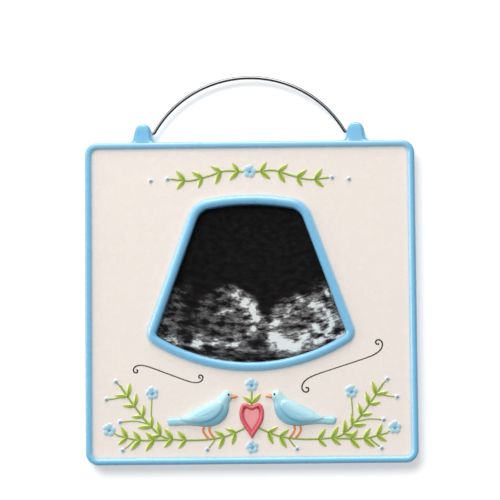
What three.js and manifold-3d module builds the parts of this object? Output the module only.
// A hanging ceramic frame for an ultrasound print: a square glazed plate with a fan-shaped window, two
// lugs on its top edge with a wire bow that swings in them, moulded relief on its face, and a back board
// whose door is held by four turn clips.
// Millimetres, +Z up, the face towards -Y. The origin is the middle of the bottom edge.

import * as THREE from "three";
import { mergeVertices } from "three/addons/utils/BufferGeometryUtils.js";
import Module from "manifold-3d";

const wasm = await Module();
wasm.setup();

// Plate
const PLATE_WIDTH = 165;
const PLATE_DEPTH = 14; // from the cream face to the back edge
const CORNER_RADIUS = 6.5;
const RIM_WIDTH = 3.3;
const RIM_PROUD = 1.5; // how far the rim stands in front of the face
const BACK_CHAMFER = 0.8;
const TOP_BAND = 24; // height of the field above the window's rim

// Window
const WINDOW_HEIGHT = 79; // between the crowns of its two arcs
const WINDOW_MID_WIDTH = 76.7; // between the sides, half way up
const WINDOW_LEAN = THREE.MathUtils.degToRad(20); // of each side from upright
const WINDOW_TOP_RADIUS = 112;
const WINDOW_BOTTOM_RADIUS = 88;
const WINDOW_TOP_CORNER = 5;
const WINDOW_BOTTOM_CORNER = 2.2;
const WINDOW_RIM_WIDTH = 4.3;
const WINDOW_RIM_PROUD = 2;
const WINDOW_CLEARANCE = 3.7; // between the flower on the heart and the window's rim

// Lugs and wire handle
const LUG_SPACING = 107;
const LUG_HEIGHT = 9.7;
const LUG_BASE_WIDTH = 12;
const LUG_TOP_WIDTH = 8;
const LUG_FOOT = 2.4; // reach of the fillet at each side of the base
const LUG_SHOULDER = 4.2; // height of the rounding at the top
const LUG_DEPTH = 11;
const LUG_EDGE = 1.8; // rounding of the front and back edges
const WIRE_DIAMETER = 1.8;
const HANDLE_RISE = 28.2; // from the pivot axis to the crown of the bow
const PIVOT_HEIGHT = 5.1; // of the pivot axis above the plate
const PIN_LENGTH = 6; // of each wire end inside its lug
const PIVOT_CLEARANCE = 0.3;
const PIVOT_MOUTH = 1.2; // depth of the flare at the mouth of each pivot hole
const ELBOW_RADIUS = 2.6;

// Print and what holds it
const FACE_WALL = 6; // ceramic between the face and the pane
const PRINT_WIDTH = 108;
const PRINT_HEIGHT = 89;
const PRINT_THICKNESS = 0.3;
const PANE_THICKNESS = 1.2;
const CARD_THICKNESS = 1.2;
const DOOR_THICKNESS = 3;
const POCKET_CLEARANCE = 1; // round the pane, print and card
const DOOR_CLEARANCE = 0.5; // round the door
const BACK_BORDER = 8; // ceramic left round the back board
const BOARD_THICKNESS = 3;
const BOARD_CLEARANCE = 0.4; // round the back board
const BOARD_CORNER = 3;

// Turn clips
const CLIP_SPACING = 50; // between the two clips on one side
const CLIP_WIDTH = 8;
const CLIP_THICKNESS = 0.8;
const CLIP_LAP = 7; // of the arm over the door
const CLIP_GAP = 0.15; // clip to board, and screw head to clip
const SCREW_DIAMETER = 2.2;
const SCREW_GRIP = 2.6; // of the shank in the board
const SCREW_FIT = 0.15; // round the shank in the board
const SCREW_HEAD_DIAMETER = 4.6;
const SCREW_HEAD_HEIGHT = 1;
const SCREW_SLOT = 0.7;
const SLOT_DEPTH = 0.5;

// Relief on the face
const FIELD_MARGIN = 5; // from the end of each spray to the rim
const RELIEF_GAP = 0.4; // between neighbouring mouldings
const HEART_WIDTH = 11.6;
const HEART_HEIGHT = 17;
const HEART_TIP = 13.2; // above the bottom edge
const HEART_PROUD = 1.8;
const HEART_BORDER = 1.7;
const INSET_DEPTH = 0.8;
const HEART_STEM = 5.4; // from the heart to the flower on it
const FLOWER_DIAMETER = 6.8;
const FLOWER_PROUD = 1.3;
const PETAL_NOTCH = 0.95; // depth of the dip between petals
const PETAL_ROUND = 0.9; // how far the top draws in from the edge
const BUD_DIAMETER = 2.1;
const STEM_DIAMETER = 1.1;
const LEAF_LENGTH = 5;
const LEAF_WIDTH = 1.7;
const LEAF_PROUD = 0.9;
const LEAF_ANGLE = THREE.MathUtils.degToRad(42); // from the stem
const LEAF_SPACING = 8.4; // between pairs along a stem
const GARLAND_REACH = 39; // of each half from the middle
const GARLAND_DROP = 4.2; // of each half below the flower in the middle
const BRANCH_HEIGHT = 12.4; // of the branch that the birds stand on
const SPRAY_RISE = 27; // of the upper twig above the branch
const SPRAY_ROOT = 0.72; // where the branch meets the heart, from its dip, 0, to its tip, 1
const BIRD_START = 6.6; // from the middle to the tip of the beak
const BEAK_LENGTH = 3;
const BEAK_WIDTH = 1.9;
const HEAD_DIAMETER = 6.2;
const BODY_LENGTH = 23;
const BODY_HEIGHT = 11;
const TAIL_LENGTH = 9;
const TAIL_WIDTH = 3.6;
const LEG_HEIGHT = 6.2; // from the branch to the belly
const BIRD_LEAN = THREE.MathUtils.degToRad(16); // of the back from level
const BIRD_PROUD = 2.6;
const WING_LENGTH = 16;
const WING_WIDTH = 5.5;
const WING_PROUD = 3.3;

// Places that follow from the sizes
const faceY = -PLATE_DEPTH / 2;
const backY = PLATE_DEPTH / 2;
const fieldHalf = PLATE_WIDTH / 2 - RIM_WIDTH;
const heartTop = HEART_TIP + HEART_HEIGHT;
const heartFlowerZ = heartTop + HEART_STEM + FLOWER_DIAMETER / 2;
const windowBottom = heartFlowerZ + FLOWER_DIAMETER / 2 + WINDOW_CLEARANCE + WINDOW_RIM_WIDTH;
const windowTop = windowBottom + WINDOW_HEIGHT;
const windowMid = (windowTop + windowBottom) / 2;
const fieldTop = windowTop + WINDOW_RIM_WIDTH + TOP_BAND;
const plateTop = fieldTop + RIM_WIDTH;
const pivotZ = plateTop + PIVOT_HEIGHT;
const lugX = LUG_SPACING / 2;
const flankX = lugX - lugHalfWidth(PIVOT_HEIGHT);

const paneFront = faceY + FACE_WALL;
const printFront = paneFront + PANE_THICKNESS;
const cardFront = printFront + PRINT_THICKNESS;
const doorFront = cardFront + CARD_THICKNESS;
const boardBack = doorFront + DOOR_THICKNESS;
const boardFront = boardBack - BOARD_THICKNESS;
const pocketWidth = PRINT_WIDTH + 2 * POCKET_CLEARANCE;
const pocketHeight = PRINT_HEIGHT + 2 * POCKET_CLEARANCE;
const recessWidth = PLATE_WIDTH - 2 * BACK_BORDER;
const recessHeight = plateTop - 2 * BACK_BORDER;
const recessMid = plateTop / 2;
const clipX = (pocketWidth + recessWidth) / 4;
const clipFront = boardBack + CLIP_GAP;
const clipBack = clipFront + CLIP_THICKNESS;

const CREAM = new THREE.MeshStandardMaterial({ color: "#f0e7de", roughness: 0.28, metalness: 0 });
const RIM_BLUE = new THREE.MeshStandardMaterial({ color: "#86c4e6", roughness: 0.22, metalness: 0 });
const BIRD_BLUE = new THREE.MeshStandardMaterial({ color: "#93cce4", roughness: 0.25, metalness: 0 });
const FLOWER_BLUE = new THREE.MeshStandardMaterial({ color: "#9ccbe6", roughness: 0.25, metalness: 0 });
const BUD_BLUE = new THREE.MeshStandardMaterial({ color: "#7fa8c4", roughness: 0.25, metalness: 0 });
const LEAF_GREEN = new THREE.MeshStandardMaterial({ color: "#98b93c", roughness: 0.28, metalness: 0 });
const HEART_RED = new THREE.MeshStandardMaterial({ color: "#d9545f", roughness: 0.25, metalness: 0 });
const HEART_PINK = new THREE.MeshStandardMaterial({ color: "#e98f95", roughness: 0.25, metalness: 0 });
const BEAK_ORANGE = new THREE.MeshStandardMaterial({ color: "#e89a5c", roughness: 0.3, metalness: 0 });
const WIRE_STEEL = new THREE.MeshStandardMaterial({ color: "#b9b9b8", roughness: 0.2, metalness: 1 });
const CLIP_STEEL = new THREE.MeshStandardMaterial({ color: "#c4bfae", roughness: 0.35, metalness: 1 });
const CLEAR = new THREE.MeshStandardMaterial({ color: "#f4f7f8", roughness: 0.05, metalness: 0 });
const PRINT_BLACK = new THREE.MeshStandardMaterial({ color: "#1b191b", roughness: 0.35, metalness: 0 });
const CARD_GREY = new THREE.MeshStandardMaterial({ color: "#b3aa9b", roughness: 0.9, metalness: 0 });
const FLOCK_BLACK = new THREE.MeshStandardMaterial({ color: "#2a282b", roughness: 0.95, metalness: 0 });

const frame = new THREE.Group();

// Half the width of a lug's straight flanks at a height above the plate.
function lugHalfWidth(height) {
  return (LUG_BASE_WIDTH - (LUG_BASE_WIDTH - LUG_TOP_WIDTH) * (height / LUG_HEIGHT)) / 2;
}

function addPiece(name, geometry, material, parent = frame) {
  const piece = new THREE.Mesh(geometry, material);
  piece.name = name;
  parent.add(piece);
}

// Solids
function solidOf(geometry) {
  const bare = geometry.clone();
  bare.deleteAttribute("normal");
  bare.deleteAttribute("uv");
  const merged = mergeVertices(bare);
  const vertProperties = new Float32Array(merged.attributes.position.array);
  const triVerts = new Uint32Array(merged.index.array);
  return new wasm.Manifold(new wasm.Mesh({ numProp: 3, vertProperties, triVerts }));
}

function geometryOf(solid) {
  const mesh = solid.getMesh();
  const geometry = new THREE.BufferGeometry();
  geometry.setAttribute("position", new THREE.BufferAttribute(mesh.vertProperties, 3));
  geometry.setIndex(new THREE.BufferAttribute(mesh.triVerts, 1));
  geometry.computeVertexNormals();
  return geometry;
}

function joined(solids) {
  return solids.reduce((sum, solid) => sum.add(solid));
}

// A flat shape drawn in x and z, filled from one depth to another.
function slab(shape, front, back, curveSegments = 6) {
  const settings = { depth: back - front, bevelEnabled: false, curveSegments };
  const geometry = new THREE.ExtrudeGeometry(shape, settings);
  return geometry.rotateX(Math.PI / 2).translate(0, back, 0);
}

function block(width, height, midZ, front, back) {
  return new THREE.BoxGeometry(width, back - front, height).translate(0, (front + back) / 2, midZ);
}

function mirrored(geometry) {
  const copy = geometry.clone().scale(-1, 1, 1);
  const flipped = Array.from(copy.index.array).reverse();
  copy.setIndex(flipped);
  copy.computeVertexNormals();
  return copy;
}

// A convex outline is a round of arcs with straight runs between them, so a wider one has larger radii.
function outlinePoints(arcs, offset) {
  const points = [];
  for (const arc of arcs) {
    for (let k = 0; k <= arc.steps; k += 1) {
      const angle = arc.from + ((arc.to - arc.from) * k) / arc.steps;
      const radius = arc.radius + offset;
      points.push(new THREE.Vector2(arc.x + radius * Math.cos(angle), arc.z + radius * Math.sin(angle)));
    }
  }
  return points;
}

function roundedRectangle(width, height, midZ, radius) {
  const steps = 5;
  const corners = [[1, -1], [1, 1], [-1, 1], [-1, -1]];
  return corners.map(([sideX, sideZ], index) => ({
    x: sideX * (width / 2 - radius),
    z: midZ + sideZ * (height / 2 - radius),
    radius,
    from: (index - 1) * (Math.PI / 2),
    to: index * (Math.PI / 2),
    steps,
  }));
}

// The fan: two wide arcs, two leaning sides, and a fillet where each side meets an arc.
function windowArcs() {
  const outward = new THREE.Vector2(Math.cos(WINDOW_LEAN), Math.sin(WINDOW_LEAN));
  const along = new THREE.Vector2(-outward.y, outward.x);
  const sideReach = outward.dot(new THREE.Vector2(WINDOW_MID_WIDTH / 2, windowMid));
  function filletCentre(centreZ, arcRadius, fillet, end) {
    const foot = outward.clone().multiplyScalar(sideReach - fillet);
    foot.y -= centreZ;
    const half = foot.dot(along);
    const rest = foot.lengthSq() - (arcRadius - fillet) ** 2;
    const slide = -half + end * Math.sqrt(half * half - rest);
    return foot.addScaledVector(along, slide);
  }
  const topZ = windowTop - WINDOW_TOP_RADIUS;
  const bottomZ = windowBottom + WINDOW_BOTTOM_RADIUS;
  const topFillet = filletCentre(topZ, WINDOW_TOP_RADIUS, WINDOW_TOP_CORNER, 1);
  const bottomFillet = filletCentre(bottomZ, WINDOW_BOTTOM_RADIUS, WINDOW_BOTTOM_CORNER, -1);
  const topAngle = topFillet.angle();
  const bottomAngle = bottomFillet.angle() - 2 * Math.PI;
  topFillet.y += topZ;
  bottomFillet.y += bottomZ;
  const topCorner = { x: topFillet.x, z: topFillet.y, radius: WINDOW_TOP_CORNER, steps: 4 };
  const bottomCorner = { x: bottomFillet.x, z: bottomFillet.y, radius: WINDOW_BOTTOM_CORNER, steps: 4 };
  const topArc = { x: 0, z: topZ, radius: WINDOW_TOP_RADIUS, steps: 8 };
  const bottomArc = { x: 0, z: bottomZ, radius: WINDOW_BOTTOM_RADIUS, steps: 16 };
  return [
    { ...bottomArc, from: -Math.PI - bottomAngle, to: bottomAngle },
    { ...bottomCorner, from: bottomAngle, to: WINDOW_LEAN },
    { ...topCorner, from: WINDOW_LEAN, to: topAngle },
    { ...topArc, from: topAngle, to: Math.PI - topAngle },
    { ...topCorner, x: -topCorner.x, from: Math.PI - topAngle, to: Math.PI - WINDOW_LEAN },
    { ...bottomCorner, x: -bottomCorner.x, from: Math.PI - WINDOW_LEAN, to: Math.PI - bottomAngle },
  ];
}

// A band round an outline: each point of its section is an offset from the outline and a depth.
function bandRound(arcs, section) {
  const positions = [];
  for (const [offset, y] of section) {
    for (const point of outlinePoints(arcs, offset)) positions.push(point.x, y, point.y);
  }
  const count = positions.length / 3 / section.length;
  const index = [];
  for (let ring = 0; ring < section.length; ring += 1) {
    const next = (ring + 1) % section.length;
    for (let k = 0; k < count; k += 1) {
      const after = (k + 1) % count;
      const a = ring * count + k;
      const b = ring * count + after;
      const c = next * count + after;
      const d = next * count + k;
      index.push(a, d, c, a, c, b);
    }
  }
  return indexedGeometry(positions, index);
}

function indexedGeometry(positions, index) {
  const geometry = new THREE.BufferGeometry();
  geometry.setAttribute("position", new THREE.Float32BufferAttribute(positions, 3));
  geometry.setIndex(index);
  geometry.computeVertexNormals();
  return geometry;
}

// The half-round top of a bead, from its inner edge to its outer edge.
function beadSection(width, proud, steps) {
  const section = [];
  for (let k = 0; k <= steps; k += 1) {
    const angle = (Math.PI * k) / steps;
    section.push([(width / 2) * (1 - Math.cos(angle)), faceY - proud * Math.sin(angle)]);
  }
  return section;
}

// Casting
const windowOutline = windowArcs();
const fieldCorner = CORNER_RADIUS - RIM_WIDTH;
const fieldOutline = roundedRectangle(2 * fieldHalf, fieldTop - RIM_WIDTH, plateTop / 2, fieldCorner);
const recessOutline = roundedRectangle(recessWidth, recessHeight, recessMid, BOARD_CORNER);

function ceramicPanel() {
  const field = new THREE.Shape(outlinePoints(fieldOutline, 0));
  const opening = new THREE.Shape(outlinePoints(windowOutline, 0));
  const recess = new THREE.Shape(outlinePoints(recessOutline, 0));
  const beyond = PLATE_DEPTH;
  const pocket = block(pocketWidth, pocketHeight, windowMid, paneFront, backY + beyond);
  return geometryOf(
    solidOf(slab(field, faceY, backY))
      .subtract(solidOf(slab(opening, faceY - beyond, backY + beyond)))
      .subtract(solidOf(pocket))
      .subtract(solidOf(slab(recess, boardFront, backY + beyond))),
  );
}

function lugShape() {
  const base = LUG_BASE_WIDTH / 2;
  const top = LUG_TOP_WIDTH / 2;
  const root = -RIM_WIDTH / 2;
  const shoulder = LUG_HEIGHT - LUG_SHOULDER;
  const shape = new THREE.Shape();
  shape.moveTo(-base - LUG_FOOT, root);
  shape.lineTo(base + LUG_FOOT, root);
  shape.lineTo(base + LUG_FOOT, 0);
  shape.quadraticCurveTo(base, 0, lugHalfWidth(LUG_FOOT), LUG_FOOT);
  shape.lineTo(lugHalfWidth(shoulder), shoulder);
  shape.quadraticCurveTo(top, LUG_HEIGHT, 0, LUG_HEIGHT);
  shape.quadraticCurveTo(-top, LUG_HEIGHT, -lugHalfWidth(shoulder), shoulder);
  shape.lineTo(-lugHalfWidth(LUG_FOOT), LUG_FOOT);
  shape.quadraticCurveTo(-base, 0, -base - LUG_FOOT, 0);
  return shape;
}

// A lug is its front view and its round-topped side view, each filled through the other.
function lug() {
  const half = LUG_DEPTH / 2;
  const width = LUG_BASE_WIDTH + 2 * LUG_FOOT;
  const side = new THREE.Shape();
  side.moveTo(-half, -RIM_WIDTH);
  side.lineTo(half, -RIM_WIDTH);
  side.lineTo(half, LUG_HEIGHT - LUG_EDGE);
  side.quadraticCurveTo(half, LUG_HEIGHT, half - LUG_EDGE, LUG_HEIGHT);
  side.lineTo(LUG_EDGE - half, LUG_HEIGHT);
  side.quadraticCurveTo(-half, LUG_HEIGHT, -half, LUG_HEIGHT - LUG_EDGE);
  const settings = { depth: 2 * width, bevelEnabled: false, curveSegments: 4 };
  const sideView = new THREE.ExtrudeGeometry(side, settings);
  sideView.translate(0, 0, -width).rotateX(Math.PI / 2).rotateZ(Math.PI / 2);
  const frontView = slab(lugShape(), -half, half);
  return solidOf(frontView).intersect(solidOf(sideView)).translate([lugX, 0, plateTop]);
}

function pivotHole() {
  const radius = WIRE_DIAMETER / 2 + PIVOT_CLEARANCE;
  const depth = PIN_LENGTH + PIVOT_CLEARANCE;
  const mouth = 2 * PIVOT_MOUTH;
  const profile = [
    new THREE.Vector2(0, -mouth),
    new THREE.Vector2(radius + PIVOT_MOUTH + mouth, -mouth),
    new THREE.Vector2(radius, PIVOT_MOUTH),
    new THREE.Vector2(radius, depth),
    new THREE.Vector2(0, depth),
  ];
  return new THREE.LatheGeometry(profile, 12).rotateZ(-Math.PI / 2).translate(flankX, 0, pivotZ);
}

function ceramicRim() {
  const section = [
    [0, backY],
    ...beadSection(RIM_WIDTH, RIM_PROUD, 7),
    [RIM_WIDTH, backY - BACK_CHAMFER],
    [RIM_WIDTH - BACK_CHAMFER, backY],
  ];
  const oneLug = lug().subtract(solidOf(pivotHole()));
  const otherLug = solidOf(mirrored(geometryOf(oneLug)));
  return geometryOf(joined([solidOf(bandRound(fieldOutline, section)), oneLug, otherLug]));
}

function addCasting() {
  addPiece("ceramic_panel", ceramicPanel(), CREAM);
  addPiece("ceramic_rim", ceramicRim(), RIM_BLUE);
  const windowBead = beadSection(WINDOW_RIM_WIDTH, WINDOW_RIM_PROUD, 7);
  addPiece("window_rim", bandRound(windowOutline, windowBead), RIM_BLUE);
}

// Wire handle: a round bow, an elbow at each end, and a straight pin into each lug.
function handleCurve() {
  const chord = flankX - PIVOT_CLEARANCE;
  const radius = (chord * chord + HANDLE_RISE * HANDLE_RISE) / (2 * HANDLE_RISE);
  const centreZ = pivotZ + HANDLE_RISE - radius;
  const elbowZ = pivotZ + ELBOW_RADIUS;
  const elbowX = Math.sqrt((radius + ELBOW_RADIUS) ** 2 - (elbowZ - centreZ) ** 2);
  const meet = Math.atan2(elbowZ - centreZ, elbowX);
  const pinEnd = flankX + PIN_LENGTH;
  const elbowSteps = 3;
  const half = [new THREE.Vector3(pinEnd, 0, pivotZ), new THREE.Vector3((pinEnd + elbowX) / 2, 0, pivotZ)];
  for (let k = 0; k < elbowSteps; k += 1) {
    const angle = -Math.PI / 2 - (Math.PI / 2 - meet) * (k / elbowSteps);
    const x = elbowX + ELBOW_RADIUS * Math.cos(angle);
    half.push(new THREE.Vector3(x, 0, elbowZ + ELBOW_RADIUS * Math.sin(angle)));
  }
  const bowSteps = 12;
  for (let k = 0; k < bowSteps; k += 1) {
    const angle = meet + (Math.PI / 2 - meet) * (k / bowSteps);
    half.push(new THREE.Vector3(radius * Math.cos(angle), 0, centreZ + radius * Math.sin(angle)));
  }
  const crown = new THREE.Vector3(0, 0, pivotZ + HANDLE_RISE);
  const other = half.map((point) => new THREE.Vector3(-point.x, 0, point.z)).reverse();
  return new THREE.CatmullRomCurve3([...half, crown, ...other]);
}

function tube(curve, diameter, sides, steps) {
  const section = new THREE.Shape();
  for (let k = 0; k < sides; k += 1) {
    const angle = (2 * Math.PI * (k + 0.5)) / sides;
    const x = (diameter / 2) * Math.cos(angle);
    const y = (diameter / 2) * Math.sin(angle);
    if (k === 0) section.moveTo(x, y);
    else section.lineTo(x, y);
  }
  return new THREE.ExtrudeGeometry(section, { extrudePath: curve, steps, curveSegments: 1 });
}

function addHandle() {
  addPiece("wire_handle", tube(handleCurve(), WIRE_DIAMETER, 8, 90), WIRE_STEEL);
}

// Print, pane, card, door and the board round the door
function addPrintStack() {
  const sheet = (front, back) => block(PRINT_WIDTH, PRINT_HEIGHT, windowMid, front, back);
  addPiece("photo_pane", sheet(paneFront, printFront), CLEAR);
  addPiece("ultrasound_print", sheet(printFront, cardFront), PRINT_BLACK);
  addPiece("backing_card", sheet(cardFront, doorFront), CARD_GREY);
  const doorWidth = pocketWidth - 2 * DOOR_CLEARANCE;
  const doorHeight = pocketHeight - 2 * DOOR_CLEARANCE;
  addPiece("back_door", block(doorWidth, doorHeight, windowMid, doorFront, boardBack), FLOCK_BLACK);
}

function clipPlaces() {
  const places = [];
  for (const [side, sideX] of [["left", -1], ["right", 1]]) {
    for (const [level, sideZ] of [["upper", 1], ["lower", -1]]) {
      const z = windowMid + (sideZ * CLIP_SPACING) / 2;
      places.push({ name: `${level}_${side}`, x: sideX * clipX, z, sideX });
    }
  }
  return places;
}

function backFrameBoard() {
  const outline = new THREE.Shape(outlinePoints(recessOutline, -BOARD_CLEARANCE));
  const beyond = BOARD_THICKNESS;
  const doorway = block(pocketWidth, pocketHeight, windowMid, boardFront - beyond, boardBack + beyond);
  let board = solidOf(slab(outline, boardFront, boardBack)).subtract(solidOf(doorway));
  const holeRadius = SCREW_DIAMETER / 2 + SCREW_FIT;
  for (const place of clipPlaces()) {
    const hole = new THREE.CylinderGeometry(holeRadius, holeRadius, 3 * BOARD_THICKNESS, 10);
    board = board.subtract(solidOf(hole.translate(place.x, boardBack, place.z)));
  }
  return geometryOf(board);
}

// A clip lies along its own x with the pivot at its origin.
function turnClip() {
  const round = CLIP_WIDTH / 2;
  const arm = clipX - pocketWidth / 2 + CLIP_LAP - round;
  const shape = new THREE.Shape();
  shape.absarc(0, 0, round, Math.PI / 2, -Math.PI / 2 + 2 * Math.PI, false);
  shape.absarc(arm, 0, round, -Math.PI / 2, Math.PI / 2, false);
  const hole = new THREE.Path();
  hole.absarc(0, 0, SCREW_DIAMETER / 2 + PIVOT_CLEARANCE, 0, 2 * Math.PI, true);
  shape.holes.push(hole);
  return slab(shape, clipFront, clipBack);
}

function clipScrew() {
  const shank = SCREW_DIAMETER / 2;
  const head = SCREW_HEAD_DIAMETER / 2;
  const seat = clipBack + CLIP_GAP;
  const profile = [
    [0, boardBack - SCREW_GRIP],
    [shank, boardBack - SCREW_GRIP],
    [shank, seat],
    [head, seat],
    [head, seat + SCREW_HEAD_HEIGHT / 2],
    [head - SCREW_HEAD_HEIGHT / 2, seat + SCREW_HEAD_HEIGHT],
    [0, seat + SCREW_HEAD_HEIGHT],
  ].map(([radius, y]) => new THREE.Vector2(radius, y));
  let screw = solidOf(new THREE.LatheGeometry(profile, 12));
  const slotLength = SCREW_HEAD_DIAMETER / 2;
  const slotY = seat + SCREW_HEAD_HEIGHT;
  for (const turn of [0, Math.PI / 2]) {
    const slot = new THREE.BoxGeometry(slotLength, 2 * SLOT_DEPTH, SCREW_SLOT).rotateY(turn);
    screw = screw.subtract(solidOf(slot.translate(0, slotY, 0)));
  }
  return geometryOf(screw);
}

function addBack() {
  addPiece("back_frame_board", backFrameBoard(), FLOCK_BLACK);
  for (const place of clipPlaces()) {
    const pivot = new THREE.Group();
    pivot.position.set(place.x, 0, place.z);
    pivot.rotation.y = place.sideX > 0 ? Math.PI : 0;
    frame.add(pivot);
    addPiece(`turn_clip_${place.name}`, turnClip(), CLIP_STEEL, pivot);
    addPiece(`clip_screw_${place.name}`, clipScrew(), CLIP_STEEL, pivot);
  }
}

// Relief is modelled whole and then cut off at the face.
const behindFace = solidOf(
  new THREE.BoxGeometry(2 * PLATE_WIDTH, PLATE_DEPTH, 2 * plateTop).translate(0, 0, plateTop / 2),
);

function onFace(solids) {
  return geometryOf(joined(solids).subtract(behindFace));
}

function dome(x, z, length, width, proud, angle = 0, around = 10, rows = 6) {
  const geometry = new THREE.SphereGeometry(0.5, around, rows).rotateX(Math.PI / 2);
  geometry.scale(length, 2 * proud, width).rotateY(-angle);
  return solidOf(geometry.translate(x, faceY, z));
}

// A moulding with a flat back whose outline draws in towards its centre as it rises.
function raised(outline, centre, layers) {
  const positions = [];
  for (const [share, height] of layers) {
    for (const point of outline) {
      const drawn = point.clone().sub(centre).multiplyScalar(share).add(centre);
      positions.push(drawn.x, faceY - height, drawn.y);
    }
  }
  const count = outline.length;
  const last = (layers.length - 1) * count;
  const index = [];
  const backCentre = positions.length / 3;
  const frontCentre = backCentre + 1;
  positions.push(centre.x, faceY - layers[0][1], centre.y);
  positions.push(centre.x, faceY - layers[layers.length - 1][1], centre.y);
  for (let k = 0; k < count; k += 1) {
    const after = (k + 1) % count;
    for (let ring = 0; ring < last; ring += count) {
      const above = ring + count;
      index.push(ring + k, ring + after, above + after, ring + k, above + after, above + k);
    }
    index.push(backCentre, after, k, frontCentre, last + k, last + after);
  }
  return indexedGeometry(positions, index);
}

// Heart: the sine-cubed heart curve, whose wave runs from -17 at the tip to 12 at the top.
const HEART_MIDDLE = 0.6; // share of the height from the tip, where the outline draws in to
const heartCentre = new THREE.Vector2(0, HEART_TIP + HEART_HEIGHT * HEART_MIDDLE);

function heartPoint(turn) {
  const wave = 13 * Math.cos(turn) - 5 * Math.cos(2 * turn) - 2 * Math.cos(3 * turn) - Math.cos(4 * turn);
  const share = (wave + 17) / (12 + 17);
  return new THREE.Vector2((HEART_WIDTH / 2) * Math.sin(turn) ** 3, HEART_TIP + HEART_HEIGHT * share);
}

function heartOutline() {
  const steps = 32;
  const points = [];
  for (let k = 0; k < steps; k += 1) points.push(heartPoint((-2 * Math.PI * k) / steps));
  return points;
}

function addHeart() {
  const outline = heartOutline();
  const insetShare = 1 - (2 * HEART_BORDER) / HEART_WIDTH;
  const fitShare = insetShare - (2 * RELIEF_GAP) / HEART_WIDTH;
  const floor = HEART_PROUD - INSET_DEPTH;
  const border = [[1, 0], [1, HEART_PROUD / 2], [(1 + insetShare) / 2, HEART_PROUD]];
  const pocket = raised(outline, heartCentre, [[insetShare, floor / 2], [insetShare, 2 * HEART_PROUD]]);
  const heart = solidOf(raised(outline, heartCentre, border)).subtract(solidOf(pocket));
  addPiece("heart", geometryOf(heart), HEART_RED);
  const inset = raised(outline, heartCentre, [[fitShare, floor / 2], [fitShare, floor]]);
  addPiece("heart_inset", inset, HEART_PINK);
}

function addFlower(name, x, z) {
  const petals = 5;
  const steps = 6 * petals;
  const outline = [];
  for (let k = 0; k < steps; k += 1) {
    const angle = (2 * Math.PI * k) / steps;
    const wave = (1 - Math.cos(petals * (angle - Math.PI / 2))) / 2;
    const radius = (FLOWER_DIAMETER / 2) - PETAL_NOTCH * wave;
    outline.push(new THREE.Vector2(x + radius * Math.cos(angle), z + radius * Math.sin(angle)));
  }
  const top = 1 - (2 * PETAL_ROUND) / FLOWER_DIAMETER;
  const layers = [[1, 0], [(3 + top) / 4, FLOWER_PROUD / 2], [top, FLOWER_PROUD]];
  addPiece(name, raised(outline, new THREE.Vector2(x, z), layers), FLOWER_BLUE);
}

function addBud(name, x, z) {
  addPiece(name, onFace([dome(x, z, BUD_DIAMETER, BUD_DIAMETER, BUD_DIAMETER / 2, 0, 8, 6)]), BUD_BLUE);
}

// A twig: a thin stem along a line on the face, with a pair of leaves at each spacing.
function twig(places, firstLeaf, bareEnd = STEM_DIAMETER, isBare = () => false) {
  const points = places.map(([x, z]) => new THREE.Vector3(x, faceY, z));
  const curve = new THREE.CatmullRomCurve3(points);
  const length = curve.getLength();
  const solids = [solidOf(tube(curve, STEM_DIAMETER, 6, Math.ceil(length / 3)))];
  for (let along = firstLeaf; along <= length - bareEnd; along += LEAF_SPACING) {
    const base = curve.getPointAt(along / length);
    const tangent = curve.getTangentAt(along / length);
    if (isBare(base.x)) continue;
    for (const side of [-1, 1]) {
      const angle = Math.atan2(tangent.z, tangent.x) + side * LEAF_ANGLE;
      const x = base.x + (LEAF_LENGTH / 2) * Math.cos(angle);
      const z = base.z + (LEAF_LENGTH / 2) * Math.sin(angle);
      solids.push(dome(x, z, LEAF_LENGTH, LEAF_WIDTH, LEAF_PROUD, angle, 6, 5));
    }
  }
  return solids;
}

function addMirroredPair(name, geometry, material) {
  addPiece(`${name}_right`, geometry, material);
  addPiece(`${name}_left`, mirrored(geometry), material);
}

// Bird on the right, looking towards the heart: head, body, tail and a raised wing, with its own beak.
const bodyZ = BRANCH_HEIGHT + LEG_HEIGHT + BODY_HEIGHT / 2;
const headX = BIRD_START + BEAK_LENGTH + HEAD_DIAMETER / 2;
const bodyX = headX + (BODY_LENGTH / 2) * Math.cos(BIRD_LEAN) - HEAD_DIAMETER / 4;
const headZ = bodyZ + (BODY_LENGTH / 2) * Math.sin(BIRD_LEAN) + HEAD_DIAMETER;
const tailX = bodyX + (BODY_LENGTH / 2 + TAIL_LENGTH) * Math.cos(BIRD_LEAN);
const tailZ = bodyZ - (BODY_LENGTH / 2 + TAIL_LENGTH) * Math.sin(BIRD_LEAN) + BODY_HEIGHT / 4;

function birdTail() {
  const root = new THREE.Vector2(bodyX, bodyZ);
  const end = new THREE.Vector2(tailX, tailZ);
  const across = end.clone().sub(root).normalize().rotateAround(new THREE.Vector2(), Math.PI / 2);
  const corners = [
    root.clone().addScaledVector(across, -BODY_HEIGHT / 3),
    end.clone().addScaledVector(across, -TAIL_WIDTH / 2),
    end.clone().addScaledVector(across, TAIL_WIDTH / 2),
    root.clone().addScaledVector(across, BODY_HEIGHT / 3),
  ];
  return solidOf(slab(new THREE.Shape(corners), faceY - BIRD_PROUD / 2, faceY + BIRD_PROUD));
}

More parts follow.
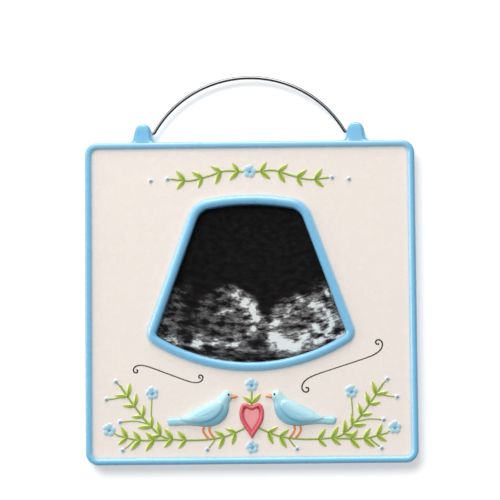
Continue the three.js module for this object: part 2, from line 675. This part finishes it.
function addBirds() {
  function head(gap) {
    const across = HEAD_DIAMETER + 2 * gap;
    return dome(headX, headZ, across, across, BIRD_PROUD + gap);
  }
  const neckX = headX + HEAD_DIAMETER / 4;
  const neckZ = (headZ + bodyZ) / 2 + HEAD_DIAMETER / 6;
  const neckLength = headZ - bodyZ + HEAD_DIAMETER / 2;
  const neckWidth = (3 * HEAD_DIAMETER + BODY_HEIGHT) / 4;
  const bird = [
    dome(bodyX, bodyZ, BODY_LENGTH, BODY_HEIGHT, BIRD_PROUD, -BIRD_LEAN, 14, 8),
    dome(neckX, neckZ, neckLength, neckWidth, BIRD_PROUD, -Math.PI / 3),
    head(0),
    birdTail(),
    dome(bodyX + BODY_LENGTH / 10, bodyZ, WING_LENGTH, WING_WIDTH, WING_PROUD, -BIRD_LEAN),
  ];
  addMirroredPair("bird", onFace(bird), BIRD_BLUE);
  const beakShape = new THREE.ConeGeometry(BEAK_WIDTH, 2 * BEAK_LENGTH, 8).rotateZ(Math.PI / 2);
  const beak = solidOf(beakShape.translate(BIRD_START + BEAK_LENGTH, faceY, headZ));
  addMirroredPair("beak", onFace([beak.subtract(head(RELIEF_GAP))]), BEAK_ORANGE);
}

// Garland over the window: a flower in the middle and a waving twig each side.
function addGarland() {
  const z = fieldTop - TOP_BAND / 2;
  const start = FLOWER_DIAMETER / 2 + STEM_DIAMETER;
  const run = GARLAND_REACH - start;
  const places = [
    [start, z],
    [start + run * 0.25, z + STEM_DIAMETER / 2],
    [start + run * 0.5, z - GARLAND_DROP / 2],
    [start + run * 0.75, z - GARLAND_DROP],
    [GARLAND_REACH, z - GARLAND_DROP * 0.8],
  ];
  addMirroredPair("garland", onFace(twig(places, STEM_DIAMETER)), LEAF_GREEN);
  addFlower("flower_top", 0, z);
  const budX = GARLAND_REACH + BUD_DIAMETER / 2 + STEM_DIAMETER;
  for (const [side, sign] of [["right", 1], ["left", -1]]) {
    addBud(`bud_garland_end_${side}`, sign * budX, z - GARLAND_DROP * 0.8);
    addBud(`bud_top_${side}`, sign * (budX + LEAF_SPACING), z - GARLAND_DROP);
  }
}

// Spray beside the heart: the branch under the bird forks into an upper and a lower twig.
function addSprays() {
  const reach = fieldHalf - FIELD_MARGIN;
  const foot = heartPoint(SPRAY_ROOT * Math.PI);
  const startX = foot.x + STEM_DIAMETER / 2 + 2 * RELIEF_GAP;
  const forkX = tailX + LEAF_LENGTH / 2;
  const forkZ = BRANCH_HEIGHT + LEAF_WIDTH;
  const upX = reach - FLOWER_DIAMETER - BUD_DIAMETER;
  const endX = reach - FLOWER_DIAMETER - RELIEF_GAP;
  const upRun = upX - forkX;
  const branch = [
    [startX, foot.y],
    [(startX + bodyX) / 2, (foot.y + BRANCH_HEIGHT) / 2 - STEM_DIAMETER],
    [bodyX, BRANCH_HEIGHT],
    [forkX - LEAF_SPACING, BRANCH_HEIGHT],
    [forkX, forkZ],
    [forkX + upRun * 0.35, forkZ + SPRAY_RISE * 0.25],
    [forkX + upRun * 0.7, forkZ + SPRAY_RISE * 0.6],
    [upX, BRANCH_HEIGHT + SPRAY_RISE],
  ];
  const lower = [
    [forkX - LEAF_SPACING / 2, BRANCH_HEIGHT],
    [(forkX + endX) / 2, BRANCH_HEIGHT],
    [endX, BRANCH_HEIGHT + LEAF_LENGTH / 2],
  ];
  const underBird = (x) => Math.abs(x - bodyX) < BODY_LENGTH / 3;
  const upperTwig = twig(branch, LEAF_SPACING / 2, LEAF_LENGTH / 2, underBird);
  const lowerTwig = twig(lower, LEAF_SPACING, LEAF_LENGTH);
  const spray = [...upperTwig, ...lowerTwig];
  addMirroredPair("spray", onFace(spray), LEAF_GREEN);
  const flowerX = reach - FLOWER_DIAMETER / 2;
  const flowerZ = BRANCH_HEIGHT + LEAF_LENGTH;
  const buds = [
    ["spray_tip", upX + BUD_DIAMETER, BRANCH_HEIGHT + SPRAY_RISE + BUD_DIAMETER],
    ["spray_outer", reach - BUD_DIAMETER, BRANCH_HEIGHT + SPRAY_RISE * 0.75],
    ["spray_fork", upX, BRANCH_HEIGHT + SPRAY_RISE / 3],
    ["spray_low", (forkX + endX) / 2 + LEAF_SPACING, BRANCH_HEIGHT - LEAF_LENGTH],
    ["branch", bodyX, BRANCH_HEIGHT - LEAF_LENGTH],
  ];
  for (const [side, sign] of [["right", 1], ["left", -1]]) {
    addFlower(`flower_end_${side}`, sign * flowerX, flowerZ);
    addFlower(`flower_spray_${side}`, sign * (forkX + LEAF_LENGTH), BRANCH_HEIGHT + SPRAY_RISE * 0.85);
    for (const [name, x, z] of buds) addBud(`bud_${name}_${side}`, sign * x, z);
  }
}

// Sprig on the heart, with a flower over it and one under the heart's tip.
function addHeartSprig() {
  const foot = heartTop - HEART_PROUD / 2;
  const stalk = [[0, foot], [0, heartTop + HEART_STEM - RELIEF_GAP]];
  addPiece("heart_sprig", onFace(twig(stalk, HEART_STEM / 3, HEART_STEM / 2)), LEAF_GREEN);
  addFlower("flower_over_heart", 0, heartFlowerZ);
  addFlower("flower_under_heart", 0, (HEART_TIP + RIM_WIDTH) / 2);
}

addCasting();
addHandle();
addPrintStack();
addBack();
addHeart();
addHeartSprig();
addBirds();
addGarland();
addSprays();

export default frame;
